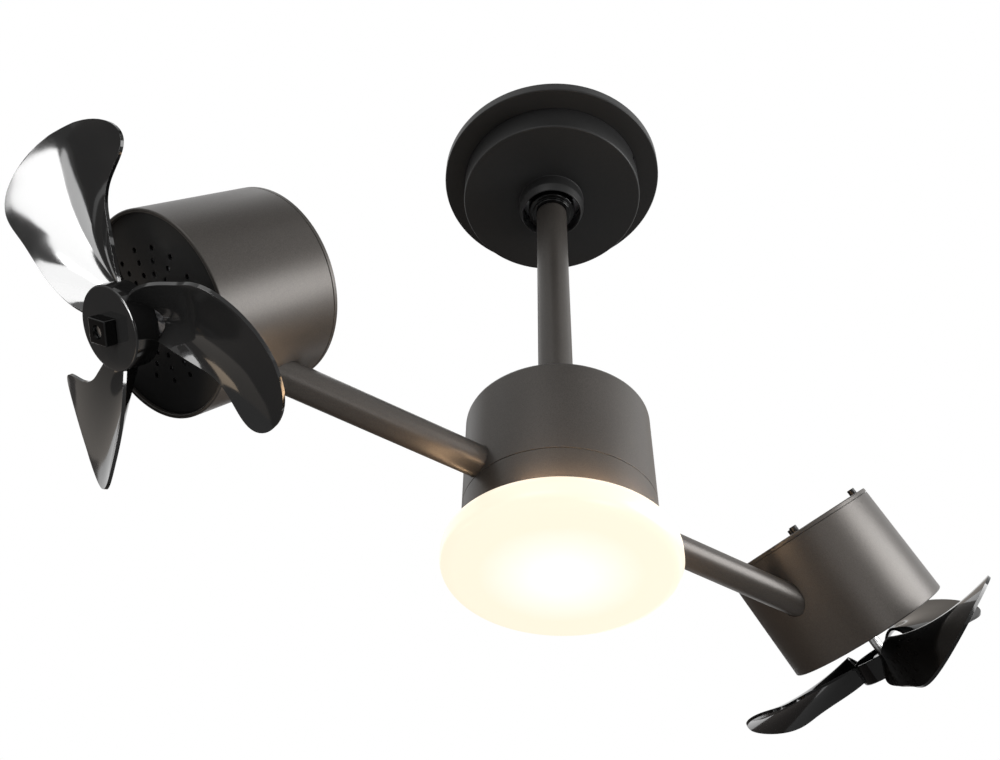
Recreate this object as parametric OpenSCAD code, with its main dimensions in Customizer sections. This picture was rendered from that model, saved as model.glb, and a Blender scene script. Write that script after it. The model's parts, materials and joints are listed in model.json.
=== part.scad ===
// Twin head ceiling fan with a lamp between its two arms.
// Z is up, X runs along the arms, and the origin is on the ceiling, on the downrod's axis.
// All lengths are in millimetres and all angles in degrees.

/* [Canopy] */
// Radius of the plate that lies on the ceiling
plate_r = 98.8; // [90:0.1:110]
// Height of that plate
plate_h = 10.2; // [8:0.1:14]
// Radius of the drum-shaped canopy
canopy_r = 80; // [76:0.1:86]
// Height of the drum below the plate
canopy_h = 28.6; // [27:0.1:40]
// Outer radius of the collar round the rod opening
collar_r = 29.2; // [28.5:0.1:33]
// Height of the collar's straight part below the drum
collar_h = 11.2; // [8:0.1:12]
// Outer radius of the collar's foot, where it tapers in
collar_foot_r = 26.6; // [26.6:0.1:28]
// Height of that tapering foot
collar_foot_h = 7; // [4:0.5:8]
// Thickness of the pressed steel of plate, canopy and bracket
sheet_t = 1.5; // [1:0.1:2]
// Angle that the canopy turns to unlock
canopy_twist = 10; // [8:1:20]
// Angle round the drum of the first locking stud
canopy_stud_angle = -46.5; // [-90:0.5:0]

/* [Ceiling bracket] */
// Length of the bracket plate along X
bracket_l = 148; // [144:1:156]
// Width of the bracket plate
bracket_w = 92; // [90:1:100]
// Thickness of the bracket plate
bracket_t = 2.5; // [2:0.1:4]
// Distance between the two ceiling screw slots
slot_spacing = 88.9; // [80:0.1:100]
// Width of a ceiling screw slot
slot_w = 5.2; // [4:0.1:7]
// End-to-end length of a ceiling screw slot
slot_l = 14; // [8:0.5:20]

/* [Hanger] */
// Radius of the hanger ball
ball_r = 24; // [23:0.1:25]
// Depth of the ball's centre below the ceiling
ball_drop = 22; // [21:0.1:24]
// Tilt that ball and rod allow to each side
hang_tilt = 8; // [5:1:9]
// Radius of the pin through the ball
ball_pin_r = 3; // [2:0.1:3.5]

/* [Downrod] */
// Outer radius of the downrod
rod_r = 13.35; // [12:0.05:14]
// Wall of the downrod
rod_wall = 2; // [1.5:0.1:3]
// Outer radius of the ring cap round the rod
cap_r = 20.7; // [18:0.1:22]
// Height of the ring cap
cap_h = 14; // [12:0.5:15]

/* [Housing] */
// Radius of the lamp housing
housing_r = 66.75; // [65:0.05:70]
// Depth of the housing's top below the ceiling
housing_drop = 313.8; // [290:0.1:420]
// Height of the upper shell
shell_h = 77.9; // [76:0.1:90]
// Height of the lower ring
ring_h = 28.7; // [27:0.1:34]
// Wall of the housing's pressed shells
housing_wall = 1.5; // [1:0.1:2]
// Gap that shows as the seam between shell and ring
seam = 0.4; // [0.3:0.05:1]
// Radius of the rounded top edge
housing_round = 4; // [2:0.5:8]

/* [Diffuser] */
// Largest radius of the diffuser
diffuser_r = 79.4; // [76:0.1:84]
// Height of the part that shows
diffuser_h = 24; // [22:0.1:34]
// Wall of the diffuser
diffuser_wall = 2.4; // [2:0.1:3]
// Radius of the diffuser's upper shoulder
shoulder_round = 9.5; // [8:0.5:10]
// Radius of the diffuser's lower edge
base_round = 9; // [8:0.5:10]
// Height of the neck inside the ring
neck_h = 9.5; // [9:0.1:11]
// Angle that the diffuser turns to unlock
diffuser_twist = 15; // [10:1:25]

/* [Arms] */
// Outer radius of an arm
arm_r = 11.25; // [10:0.05:11.6]
// Wall of an arm
arm_wall = 1.6; // [1.2:0.1:2.5]
// Height of the arm's axis above the bottom of the upper shell
arm_rise = 11.8; // [11.7:0.1:14]
// Distance from the rod's axis to a head's centre
head_reach = 266.4; // [240:0.1:320]
// Height of a head's centre above the arm's axis
head_rise = 36.1; // [35:0.1:38]
// Angle between a head's axis and straight down
head_cant = 41.5; // [38:0.1:46]

/* [Heads] */
// Radius of a head's shell
head_r = 64.6; // [63:0.1:68]
// Length of a head from rim to rim
head_l = 91.5; // [89:0.1:100]
// Wall of the head's shell
head_wall = 1.2; // [1:0.1:1.6]
// Width of the rolled lip at the front
lip_w = 2.6; // [2:0.1:3.5]
// Depth of the front plate behind the rim
front_recess = 3; // [2.5:0.1:4]
// Depth of the rear cover behind the rim
rear_recess = 3.5; // [3:0.1:5]
// Length of the trim ring at the rear
trim_l = 3.1; // [2:0.1:4]
// Vent holes in one ring
vent_count = 15; // [9:1:18]
// Radius of a vent hole
vent_r = 1.75; // [1:0.05:2]

/* [Motor] */
// Radius of the motor
motor_r = 39.5; // [36:0.1:40]
// Length of the stator stack
stack_l = 25; // [20:0.5:27]
// Radius of the rotor
rotor_r = 19.5; // [17:0.1:21]
// Air gap between rotor and stator
air_gap = 0.5; // [0.4:0.05:0.8]
// Radius of the motor shaft
shaft_r = 4; // [3:0.1:4.5]
// Outer radius of a ball bearing
bearing_r = 11; // [10:0.1:12]
// Width of a ball bearing
bearing_w = 7; // [6:0.1:8]
// Number of stator slots
stator_slots = 12; // [9:3:15]

/* [Propeller] */
// Radius of the propeller's hub
hub_r = 25.8; // [24:0.1:28]
// Depth of the hub
hub_h = 16.2; // [16.2:0.1:17]
// Distance from a head's centre to the hub's front face
hub_reach = 78.3; // [77.5:0.1:82]
// Radius of the circle swept by the blade tips
tip_r = 120.1; // [112:0.1:125]
// Radius where the blade tip starts to round off
tip_start_r = 83.5; // [80:0.5:95]
// Thickness of a blade
blade_t = 2.2; // [1.8:0.1:2.6]
// Side of the square nut
nut_side = 15.5; // [13:0.1:18]
// Depth of the square nut
nut_h = 8; // [6:0.1:10]
// Turn of the left propeller as it stands
left_phase = 40; // [0:0.1:120]
// Turn of the right propeller as it stands
right_phase = 58.3; // [0:0.1:120]

/* [Hidden] */
$fn = 96;
eps = 0.05;
gap = 0.3;            // between faces that do not turn on each other
fit = 0.05;           // radial clearance of a running fit
slip = 0.15;          // radial clearance of parts pushed together

left = -1;
right = 1;
sides = [left, right];

canopy_bottom = -plate_h - canopy_h;
canopy_top = -plate_h - gap;
collar_z = canopy_bottom - collar_h;
plate_opening_r = 60;
stud_ring_r = canopy_r - sheet_t - gap;
stud_r = 2;
stud_z = -plate_h - 6;
stud_count = 2;
stud_rim_h = 12;      // height of the plate's inner rim that carries the studs
bayonet_gap = 0.4;

ball_z = -ball_drop;
ball_top = -bracket_t - 3.5;
ball_bottom = ball_z - 18;
rod_top = ball_top - 2;
seat_w = 14;
seat_top = ball_z - 7;
seat_bottom = ball_z - 13.4;
yoke_x = ball_r + seat_w - bracket_t;
yoke_w = 24;
bracket_screw_x = 68;

shell_bottom = -housing_drop - shell_h;
ring_top = shell_bottom - seam;
ring_bottom = ring_top - ring_h;
housing_bore = housing_r - housing_wall;
arm_z = shell_bottom + arm_rise;
block_top = -housing_drop - housing_wall - gap;
block_bottom = arm_z - arm_r - 9;
block_r = 20;
block_arm_r = arm_r + 5.75;
block_arm_x = 50;
flange_r = 34;
flange_t = 3;
rod_socket = 47;
rod_bottom = block_top - rod_socket;
block_pin_z = block_top - 32;
arm_end_x = 6.5;
web_z = block_bottom - gap - housing_wall;
web_bore = 12;
sink_t = 2;
sink_z = ring_bottom + neck_h - 1.6;
board_t = 1.5;
neck_r = housing_bore - gap;
lamp_pin_r = 1.8;
lamp_pin_z = ring_bottom + 5;
rivet_count = 3;
rivet_r = 0.9;
rivet_end = housing_r - 0.6;

head_z = arm_z + head_rise;
rim_z = head_l / 2;
head_bore = head_r - head_wall;
front_face = rim_z - front_recess;
front_t = 1.5;
rear_face = -rim_z + rear_recess;
rear_t = 1.5;
shell_rear = -rim_z + trim_l + seam;
spigot_l = 4.5;
trim_bore = head_bore - gap - 1.7;
rear_r = trim_bore - gap;
lug_z = shell_rear + spigot_l + gap;
lug_l = 6;
cover_screw_r = 55.5;
cover_screw_angles = [58, 148, 238, 328];
arm_hole_r = arm_r + gap;
bracket_x = head_reach - 58;
bracket_len = 18;
bracket_r = arm_r + 5.75;
arm_tip_x = head_reach - 41.3;

motor_front = front_face - front_t - gap;
bell_t = 2.5;
bell_depth = 17;
bell_wall = 1.6;
stack_front = motor_front - bell_depth;
stack_rear = stack_front - stack_l;
motor_rear = stack_rear - bell_depth;
bearing_pocket = bearing_w + 1;
bolt_circle = motor_r + 4.5;
bolt_r = 2;
bolt_angles = [60, 180, 300];
ear_r = 4.2;
ear_t = 3;
shaft_rear = motor_rear + 1.5;
shaft_front = hub_reach + nut_h - 2;
hub_wall = 2.2;
boss_r = 8.5;
pin_r = 1.5;
pin_z = hub_reach - hub_h + 4.5;
nut_z = hub_reach + gap / 2;

blade_count = 3;
blade_root_r = hub_r - 1.2;
blade_mid_r = 70;
blade_sweep_r = 62;     // where the trailing edge starts to sweep back
blade_rings = 18;
blade_steps = 10;

// ---- helpers ----------------------------------------------------------------

// A ring between two radii, standing on z
module ring(r_out, r_in, z, h) {
    translate([0, 0, z]) difference() {
        cylinder(r = r_out, h = h);
        translate([0, 0, -eps]) cylinder(r = r_in, h = h + 2 * eps);
    }
}

// A cylinder whose axis runs along X from x0 to x1
module x_bar(r, x0, x1) {
    translate([x0, 0, 0]) rotate([0, 90, 0]) cylinder(r = r, h = x1 - x0);
}

// A cylinder whose axis runs along Y, centred
module y_bar(r, l) {
    rotate([90, 0, 0]) cylinder(r = r, h = l, center = true);
}

// Copies its children at the given angles round Z
module round_z(angles) {
    for (a = angles) rotate([0, 0, a]) children();
}

// A pan head screw along +Z: its head stands on the origin and its shank points down
module screw(r, l, head_r, head_h) {
    cylinder(r = head_r, h = head_h);
    translate([0, 0, -l]) cylinder(r = r, h = l + eps);
}

// The angles of n equal steps round the axis, from a first one
function steps(n, first = 0) = [for (i = [0 : n - 1]) first + i * 360 / n];

// Points of an arc about a centre
function arc(cx, cy, r, a0, a1, n = 12) =
    [for (i = [0 : n]) let (a = a0 + (a1 - a0) * i / n) [cx + r * cos(a), cy + r * sin(a)]];

// L-shaped lock slots that cut a wall: the pin rests at z, the mouth opens at z_mouth
module twist_slots(angles, twist, r0, r1, half, z, z_mouth) {
    end = asin(half / r0);
    round_z(angles) {
        rotate([0, 0, -twist]) rotate_extrude(angle = twist + end)
            translate([r0, z - half]) square([r1 - r0, 2 * half]);
        rotate([0, 0, -twist]) translate([r0, -half, z - half])
            cube([r1 - r0, 2 * half, z_mouth - z + half]);
    }
}

// Places its children in a head: +Z there points out of the front, +X at the arm
module at_head(side) {
    translate([side * head_reach, 0, head_z]) rotate([0, 180 - side * head_cant, 0])
        rotate([0, 0, side == right ? 0 : 180]) children();
}

// Puts what is drawn on the right-hand arm's axis on the given side
module on_arm(side) {
    translate([0, 0, arm_z]) rotate([0, 0, side == right ? 0 : 180]) children();
}

// ---- ceiling pieces -----------------------------------------------------------

module mounting_bracket() {
    color("silver") difference() {
        union() {
            translate([-bracket_l / 2, -bracket_w / 2, -bracket_t])
                cube([bracket_l, bracket_w, bracket_t]);
            for (s = sides)
                translate([s * yoke_x + min(s, 0) * bracket_t, -yoke_w / 2, seat_bottom])
                    cube([bracket_t, yoke_w, -seat_bottom - bracket_t + eps]);
            translate([0, 0, seat_bottom])
                cylinder(r = yoke_x + bracket_t, h = seat_top - seat_bottom);
        }
        translate([0, 0, ball_z]) sphere(r = ball_r + gap);
        for (s = sides) {
            translate([s * slot_spacing / 2, 0, -bracket_t - eps]) ceiling_slot();
            translate([s * bracket_screw_x, 0, -bracket_t - eps])
                cylinder(r = 2, h = bracket_t + 2 * eps);
        }
    }
}

// A slot for a ceiling screw, cut along X
module ceiling_slot() {
    run = (slot_l - slot_w) / 2;
    for (s = sides) translate([s * run, 0, 0]) cylinder(d = slot_w, h = bracket_t + 2 * eps);
    translate([-run, -slot_w / 2, 0]) cube([2 * run, slot_w, bracket_t + 2 * eps]);
}

module ceiling_plate() {
    inner = plate_r - sheet_t;
    color("#141414") difference() {
        union() {
            difference() {
                translate([0, 0, -plate_h]) cylinder(r = plate_r, h = plate_h);
                translate([0, 0, -plate_h + sheet_t]) cylinder(r = inner, h = plate_h);
            }
            translate([0, 0, -plate_h - stud_rim_h]) cylinder(r = stud_ring_r, h = stud_rim_h + eps);
        }
        translate([0, 0, -plate_h - stud_rim_h - 1]) cylinder(r = stud_ring_r - 2, h = stud_rim_h + 1);
        translate([0, 0, -plate_h - eps]) cylinder(r = plate_opening_r, h = plate_h);
        round_z(steps(stud_count, canopy_stud_angle)) translate([stud_ring_r - 3, 0, stud_z])
            rotate([0, 90, 0]) cylinder(r = stud_r + slip, h = 4);
        for (s = sides) translate([s * bracket_screw_x, 0, -plate_h - eps])
            cylinder(r = 2 + slip, h = sheet_t + 2 * eps);
    }
}

// Two long screws hold the plate to the bracket, each through a spacer
module plate_screws() {
    color("silver") for (s = sides) translate([s * bracket_screw_x, 0, -plate_h - gap]) {
        rotate([180, 0, 0]) screw(1.85, plate_h, 3.6, 2.2);
        translate([0, 0, sheet_t + 2 * gap])
            cylinder(r = 4, h = plate_h - sheet_t - bracket_t - 2 * gap);
    }
}

module canopy_cover() {
    color("#181818") difference() {
        rotate_extrude() polygon(concat(
            [[collar_r - 2, collar_z], [collar_foot_r - 1, collar_z - collar_foot_h],
             [collar_foot_r, collar_z - collar_foot_h], [collar_r, collar_z],
             [collar_r, canopy_bottom]],
            arc(canopy_r - sheet_t, canopy_bottom + sheet_t, sheet_t, -90, 0, 4),
            [[canopy_r, canopy_top], [canopy_r - sheet_t, canopy_top],
             [canopy_r - sheet_t, canopy_bottom + sheet_t],
             [collar_r - 2, canopy_bottom + sheet_t]]));
        twist_slots(steps(stud_count, canopy_stud_angle), canopy_twist, canopy_r - 3,
                    canopy_r + 1, stud_r + bayonet_gap, stud_z, canopy_top + 1);
    }
}

// Two headless studs, opposite each other, on which the canopy's slots lock
module canopy_studs() {
    color("silver") round_z(steps(stud_count, canopy_stud_angle))
        translate([stud_ring_r - 3.5, 0, stud_z]) rotate([0, 90, 0])
            cylinder(r = stud_r, h = canopy_r - stud_ring_r + 3.3);
}

// Receiver beside the ball, clear of it and inside the bracket's edge
module receiver_box() {
    inner_y = ball_r + 1;
    box = [64, bracket_w / 2 - 1 - inner_y, 18];
    color("#202020") translate([-box[0] / 2, inner_y, -bracket_t - gap - box[2]]) difference() {
        cube(box);
        for (x = [12 : 8 : box[0] - 12]) translate([x, box[1] - 1, 4]) cube([3, 2, box[2] - 8]);
    }
}

module terminal_block() {
    block = [42, 13, 11];
    pitch = 12;
    outer_y = -bracket_w / 2 + 3;
    color("ivory") translate([-block[0] / 2, outer_y, -bracket_t - gap - block[2]]) difference() {
        cube(block);
        for (i = [0 : 2]) translate([block[0] / 2 + (i - 1) * pitch, block[1] / 2, -eps])
            cylinder(r = 2.6, h = 6);
    }
}

// ---- hanger and rod -----------------------------------------------------------

// Ball with a waisted bore, so that the rod can swing on the pin
module hanger_ball() {
    waist = rod_r + gap;
    reach = ball_z - ball_bottom + 1;
    flare = waist + reach * tan(hang_tilt + 1);
    color("#1c1c20") translate([0, 0, ball_z]) difference() {
        intersection() {
            sphere(r = ball_r);
            translate([0, 0, ball_bottom - ball_z])
                cylinder(r = ball_r + 1, h = ball_top - ball_bottom);
        }
        rotate_extrude() polygon([[0, -reach], [flare, -reach], [waist, 0],
                                  [flare, reach], [0, reach]]);
        x_bar(ball_pin_r + slip, -ball_r, ball_r);
    }
}

module ball_pin() {
    color("silver") translate([0, 0, ball_z]) x_bar(ball_pin_r, -ball_r + 1, ball_r - 1);
}

module downrod() {
    color("#2f2d2c") difference() {
        ring(rod_r, rod_r - rod_wall, rod_bottom, rod_top - rod_bottom);
        translate([0, 0, ball_z]) x_bar(ball_pin_r + fit, -rod_r - 1, rod_r + 1);
        translate([0, 0, block_pin_z]) y_bar(ball_pin_r + slip, 2 * rod_r + 2);
    }
}

module rod_cap() {
    top = ball_bottom - 4.3;
    color("#101014") rotate_extrude() polygon(concat(
        [[rod_r + slip, top - cap_h], [cap_r - 4, top - cap_h]],
        [[cap_r - 3.4, top - cap_h + 2.4]],
        arc(cap_r - 2, top - cap_h + 4.6, 2, -90, 0, 6),
        [[cap_r, top], [rod_r + slip, top]]));
}

// ---- housing ------------------------------------------------------------------

// Casting that joins the rod and both arms
module arm_block() {
    wire_r = 6;
    color("#8a8a8c") difference() {
        union() {
            translate([0, 0, block_bottom]) cylinder(r = block_r, h = block_top - block_bottom);
            translate([0, 0, block_top - flange_t]) cylinder(r = flange_r, h = flange_t);
            translate([0, 0, block_bottom]) cylinder(r = flange_r, h = flange_t);
            translate([0, 0, arm_z]) x_bar(block_arm_r, -block_arm_x, block_arm_x);
        }
        translate([0, 0, rod_bottom - gap]) cylinder(r = rod_r + slip, h = rod_socket + 1);
        translate([0, 0, block_bottom - eps])
            cylinder(r = wire_r, h = rod_bottom - block_bottom + eps);
        for (s = sides) on_arm(s) {
            x_bar(arm_r + fit, arm_end_x - 1, block_arm_x + 1);
            translate([block_arm_x - 12, 0, -block_arm_r - 1])
                cylinder(r = 3 + slip, h = block_arm_r);
            x_bar(wire_r, -eps, arm_end_x);
        }
        translate([0, 0, block_pin_z]) y_bar(ball_pin_r + slip, 2 * block_r + 2);
        round_z(steps(3, 30)) for (z = [block_top - flange_t, block_bottom])
            translate([flange_r - 7, 0, z - eps]) cylinder(r = 2, h = flange_t + 2 * eps);
    }
}

module block_pin() {
    color("silver") translate([0, 0, block_pin_z]) y_bar(ball_pin_r, 2 * block_r - 1);
}

module housing_shell() {
    top = -housing_drop;
    in_r = housing_bore;
    in_round = housing_round - housing_wall;
    color("#3a3735") difference() {
        rotate_extrude() polygon(concat(
            [[rod_r + 0.6, top - housing_wall]],
            [[rod_r + 0.6, top]],
            arc(housing_r - housing_round, top - housing_round, housing_round, 90, 0, 8),
            [[housing_r, shell_bottom], [in_r, shell_bottom]],
            arc(in_r - in_round, top - housing_wall - in_round, in_round, 0, 90, 8)));
        translate([0, 0, arm_z]) x_bar(arm_r + gap, -housing_r - 1, housing_r + 1);
        round_z(steps(3, 30)) translate([flange_r - 7, 0, top - housing_wall - eps])
            cylinder(r = 2 + slip, h = housing_wall + 2 * eps);
    }
}

module housing_screws() {
    color("#242424") round_z(steps(3, 30)) translate([flange_r - 7, 0, -housing_drop + slip])
        screw(1.85, housing_wall + flange_t + 2, 3.6, 2.2);
}

// Screws that hold each arm by friction
module arm_set_screws() {
    color("#242424") for (s = sides) on_arm(s)
        translate([block_arm_x - 12, 0, -block_arm_r - 1.5]) difference() {
            cylinder(r = 3, h = block_arm_r + 1.5 - arm_r - gap);
            translate([0, 0, -eps]) cylinder(r = 1.7, h = 3, $fn = 6);
        }
}

module led_driver() {
    box = [52, 24, 40];
    color("gainsboro") translate([-box[0] / 2, block_r + gap, block_top - 12 - box[2]])
        cube(box);
}

// The ring below the seam: a wall with a web that bolts to the casting
module lower_ring() {
    color("#3a3735") difference() {
        union() {
            ring(housing_r, housing_bore, ring_bottom, ring_h);
            translate([0, 0, web_z]) cylinder(r = housing_bore + eps, h = housing_wall);
        }
        translate([0, 0, web_z - eps]) cylinder(r = web_bore, h = housing_wall + 2 * eps);
        round_z(steps(3, 30)) translate([flange_r - 7, 0, web_z - eps])
            cylinder(r = 2 + slip, h = housing_wall + 2 * eps);
        round_z(steps(rivet_count, 90)) translate([housing_bore - 1, 0, lamp_pin_z])
            rotate([0, 90, 0]) cylinder(r = rivet_r + slip, h = rivet_end + slip - housing_bore + 1);
    }
}

module fitter_screws() {
    color("silver") round_z(steps(3, 30)) translate([flange_r - 7, 0, web_z - slip])
        rotate([180, 0, 0]) screw(1.85, housing_wall + flange_t, 3.6, 2.2);
}

// Aluminium tray that carries the lamp board, on three posts below the web
module heat_sink() {
    r = neck_r - diffuser_wall - 1.5;
    fin_h = 4;
    fin_start = 18;
    fin_l = r - 6 - fin_start;
    color("silver") difference() {
        union() {
            translate([0, 0, sink_z]) cylinder(r = r, h = sink_t);
            round_z(steps(3, 90)) translate([r - 10, 0, sink_z])
                cylinder(r = 5, h = web_z - gap - sink_z);
            round_z(steps(18, 10)) translate([fin_start, -0.6, sink_z + sink_t - eps])
                cube([fin_l, 1.2, fin_h]);
        }
        translate([0, 0, sink_z - eps]) cylinder(r = web_bore - 6, h = sink_t + 2 * eps);
    }
}

module led_board() {
    color("white") ring(neck_r - diffuser_wall - 4, web_bore - 6, sink_z - gap / 3 - board_t,
                        board_t);
}

module led_chips() {
    chip = 3.4;
    chip_h = 0.9;
    z = sink_z - gap / 3 - board_t - chip_h - 0.05;
    color("khaki") for (row = [[16, 6], [31, 12], [46, 18]])
        round_z(steps(row[1])) translate([row[0] - chip / 2, -chip / 2, z])
            cube([chip, chip, chip_h]);
}

module diffuser() {
    top = ring_bottom - gap;
    base = top - diffuser_h;
    w = diffuser_wall;
    color("#fff3dd") difference() {
        rotate_extrude() polygon(concat(
            [[0, base]],
            arc(diffuser_r - base_round, base + base_round, base_round, -90, 0, 8),
            arc(diffuser_r - shoulder_round, top - shoulder_round, shoulder_round, 0, 90, 8),
            [[neck_r, top], [neck_r, ring_bottom + neck_h], [neck_r - w, ring_bottom + neck_h],
             [neck_r - w, top - w]],
            arc(diffuser_r - shoulder_round, top - shoulder_round, shoulder_round - w, 90, 0, 8),
            arc(diffuser_r - base_round, base + base_round, base_round - w, 0, -90, 8),
            [[0, base + w]]));
        twist_slots(steps(rivet_count, 90), diffuser_twist, neck_r - w - 1, neck_r + 1,
                    lamp_pin_r + bayonet_gap, lamp_pin_z, ring_bottom + neck_h + 1);
    }
}

// Rivets in the ring on which the diffuser's slots lock
module diffuser_pins() {
    pin_start = neck_r - 2;
    color("silver") round_z(steps(rivet_count, 90)) translate([pin_start, 0, lamp_pin_z])
        rotate([0, 90, 0]) {
            cylinder(r = lamp_pin_r, h = housing_bore - slip - pin_start);
            cylinder(r = rivet_r, h = rivet_end - pin_start);
        }
}

// ---- arms and heads -----------------------------------------------------------

module arm_tube(side) {
    color("#3a3735") on_arm(side) difference() {
        x_bar(arm_r, arm_end_x, arm_tip_x);
        x_bar(arm_r - arm_wall, arm_end_x - 1, arm_tip_x + 1);
    }
}

// Saddle inside the shell that grips the arm's end
module arm_bracket(side) {
    color("#707072") difference() {
        intersection() {
            on_arm(side) x_bar(bracket_r, bracket_x, bracket_x + bracket_len);
            at_head(side) translate([0, 0, -head_l / 2]) cylinder(r = head_bore - gap, h = head_l);
        }
        on_arm(side) x_bar(arm_r + slip, bracket_x - 1, bracket_x + bracket_len + 1);
    }
}

module head_shell(side) {
    lug_w = 9;
    color("#3a3735") difference() {
        at_head(side) {
            difference() {
                translate([0, 0, shell_rear]) cylinder(r = head_r, h = rim_z - shell_rear);
                translate([0, 0, shell_rear - eps])
                    cylinder(r = head_bore, h = front_face + gap / 2 - shell_rear);
                translate([0, 0, front_face]) cylinder(r = head_r - lip_w, h = head_l);
            }
            round_z(cover_screw_angles) difference() {
                translate([cover_screw_r - 4, -lug_w / 2, lug_z])
                    cube([head_bore + head_wall / 2 - cover_screw_r + 4, lug_w, lug_l]);
                translate([cover_screw_r, 0, lug_z - eps]) cylinder(r = 1.6, h = lug_l + 1);
            }
        }
        on_arm(side) x_bar(arm_hole_r, bracket_x - 20, head_reach);
    }
}

module front_plate(side) {
    r = head_bore - gap;
    pan = 7;
    color("#0c0c0c") at_head(side) difference() {
        translate([0, 0, front_face - pan]) cylinder(r = r, h = pan);
        translate([0, 0, front_face - pan - eps]) cylinder(r = r - front_t, h = pan - front_t + eps);
        translate([0, 0, front_face - front_t - eps])
            cylinder(r = bearing_r + 1, h = front_t + 2 * eps);
        for (vent_ring = [25, 33, 41])
            round_z(steps(vent_count, 12)) translate([vent_ring, 0, front_face - front_t - eps])
                cylinder(r = vent_r, h = front_t + 2 * eps, $fn = 24);
    }
}

module rear_cover(side) {
    color("#151515") at_head(side) difference() {
        translate([0, 0, rear_face]) cylinder(r = rear_r, h = lug_z - rear_face - gap);
        translate([0, 0, rear_face + rear_t]) cylinder(r = rear_r - 1.2, h = head_l);
        round_z(cover_screw_angles) translate([cover_screw_r, 0, rear_face - eps])
            cylinder(r = 1.7, h = rear_t + 2 * eps);
    }
}

module rear_trim(side) {
    color("#3a3735") at_head(side) difference() {
        union() {
            translate([0, 0, -rim_z]) cylinder(r = head_r, h = trim_l);
            translate([0, 0, -rim_z]) cylinder(r = head_bore - gap, h = trim_l + seam + spigot_l);
        }
        translate([0, 0, -rim_z - eps]) cylinder(r = trim_bore, h = head_l);
    }
}

// Tall black screws that stand proud of the rear rim
module cover_screws(side) {
    head_h = 8;
    color("black") at_head(side) round_z(cover_screw_angles)
        translate([cover_screw_r, 0, rear_face - gap / 2]) rotate([180, 0, 0]) {
            cylinder(r = 3, h = head_h);
            translate([0, 0, -lug_z + rear_face - lug_l])
                cylinder(r = 1.5, h = lug_z - rear_face + lug_l + eps);
        }
}

// End bell of the motor: a plate, a rim, a bearing pocket and three ears
module bell() {
    pocket_r = bearing_r + 2.5;
    difference() {
        union() {
            translate([0, 0, -bell_depth]) cylinder(r = motor_r, h = bell_depth);
            round_z(bolt_angles) translate([bolt_circle, 0, -bell_depth])
                cylinder(r = ear_r, h = ear_t);
            round_z(bolt_angles) translate([motor_r - 2, -ear_r, -bell_depth])
                cube([bolt_circle - motor_r + 2, 2 * ear_r, ear_t]);
        }
        difference() {
            translate([0, 0, -bell_depth - 1])
                cylinder(r = motor_r - bell_wall, h = bell_depth + 1 - bell_t);
            translate([0, 0, -bearing_pocket - bell_t]) cylinder(r = pocket_r, h = bearing_pocket + 1);
        }
        translate([0, 0, -bearing_pocket - bell_t - eps])
            cylinder(r = bearing_r + slip, h = bearing_pocket + eps);
        translate([0, 0, -bell_t - eps]) cylinder(r = shaft_r + 2, h = bell_t + 2 * eps);
        round_z(bolt_angles) translate([bolt_circle, 0, -bell_depth - eps])
            cylinder(r = bolt_r + slip, h = ear_t + 2 * eps);
        round_z(steps(6, 30)) translate([26, 0, -bell_t - eps])
            cylinder(r = 4.5, h = bell_t + 2 * eps);
    }
}

module front_bell(side) {
    color("#9a9a9c") at_head(side) translate([0, 0, motor_front]) bell();
}

module rear_bell(side) {
    color("#9a9a9c") at_head(side) translate([0, 0, motor_rear])
        mirror([0, 0, 1]) bell();
}

// Laminated stack with round wire slots
module stator_core(side) {
    bore = rotor_r + air_gap;
    color("#5a5a60") at_head(side) translate([0, 0, stack_rear + gap / 2]) difference() {
        cylinder(r = motor_r - 0.5, h = stack_l - gap);
        translate([0, 0, -1]) cylinder(r = bore, h = stack_l + 2);
        round_z(steps(stator_slots)) translate([(bore + motor_r) / 2 - 1, 0, -1])
            cylinder(r = 3.6, h = stack_l + 2, $fn = 32);
    }
}

// Windings: the wires through the slots and the bundles at both ends
module windings(side) {
    slot_r = (rotor_r + air_gap + motor_r) / 2 - 1;
    end_w = 9;
    end_h = 6.5;
    color("#b5652b") at_head(side) {
        round_z(steps(stator_slots)) translate([slot_r, 0, stack_rear - 2])
            cylinder(r = 3.3, h = stack_l + 4, $fn = 32);
        for (z = [stack_front + gap, stack_rear - gap - end_h])
            translate([0, 0, z]) rotate_extrude()
                translate([slot_r, end_h / 2]) bundle_section(end_w, end_h);
    }
}

// Section of an end bundle, a rectangle with round ends
module bundle_section(w, h) {
    for (s = sides) translate([s * (w - h) / 2, 0]) circle(d = h, $fn = 32);
    translate([-(w - h) / 2, -h / 2]) square([w - h, h]);
}

module bearings(side) {
    front = motor_front - bell_t - gap / 2 - bearing_w;
    rear = motor_rear + bell_t + gap / 2;
    color("silver") at_head(side) for (z = [front, rear])
        translate([0, 0, z]) difference() {
            cylinder(r = bearing_r, h = bearing_w);
            translate([0, 0, -1]) cylinder(r = shaft_r + fit, h = bearing_w + 2);
            for (e = [-1, bearing_w - 0.6]) translate([0, 0, e]) difference() {
                cylinder(r = bearing_r - 1.6, h = 1.6);
                translate([0, 0, -eps]) cylinder(r = shaft_r + 2.2, h = 1.6 + 2 * eps);
            }
        }
}

// Three through bolts, from the rear ears to the nuts behind the front plate
module motor_bolts(side) {
    rear = motor_rear + bell_depth - ear_t;
    color("silver") at_head(side) round_z(bolt_angles) translate([bolt_circle, 0, 0]) {
        translate([0, 0, rear - gap / 2]) rotate([180, 0, 0])
            screw(bolt_r, motor_front - rear, 3.6, 2.4);
        translate([0, 0, stack_front + ear_t + gap / 2]) cylinder(r = 4, h = 3.2, $fn = 6);
    }
}

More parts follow.
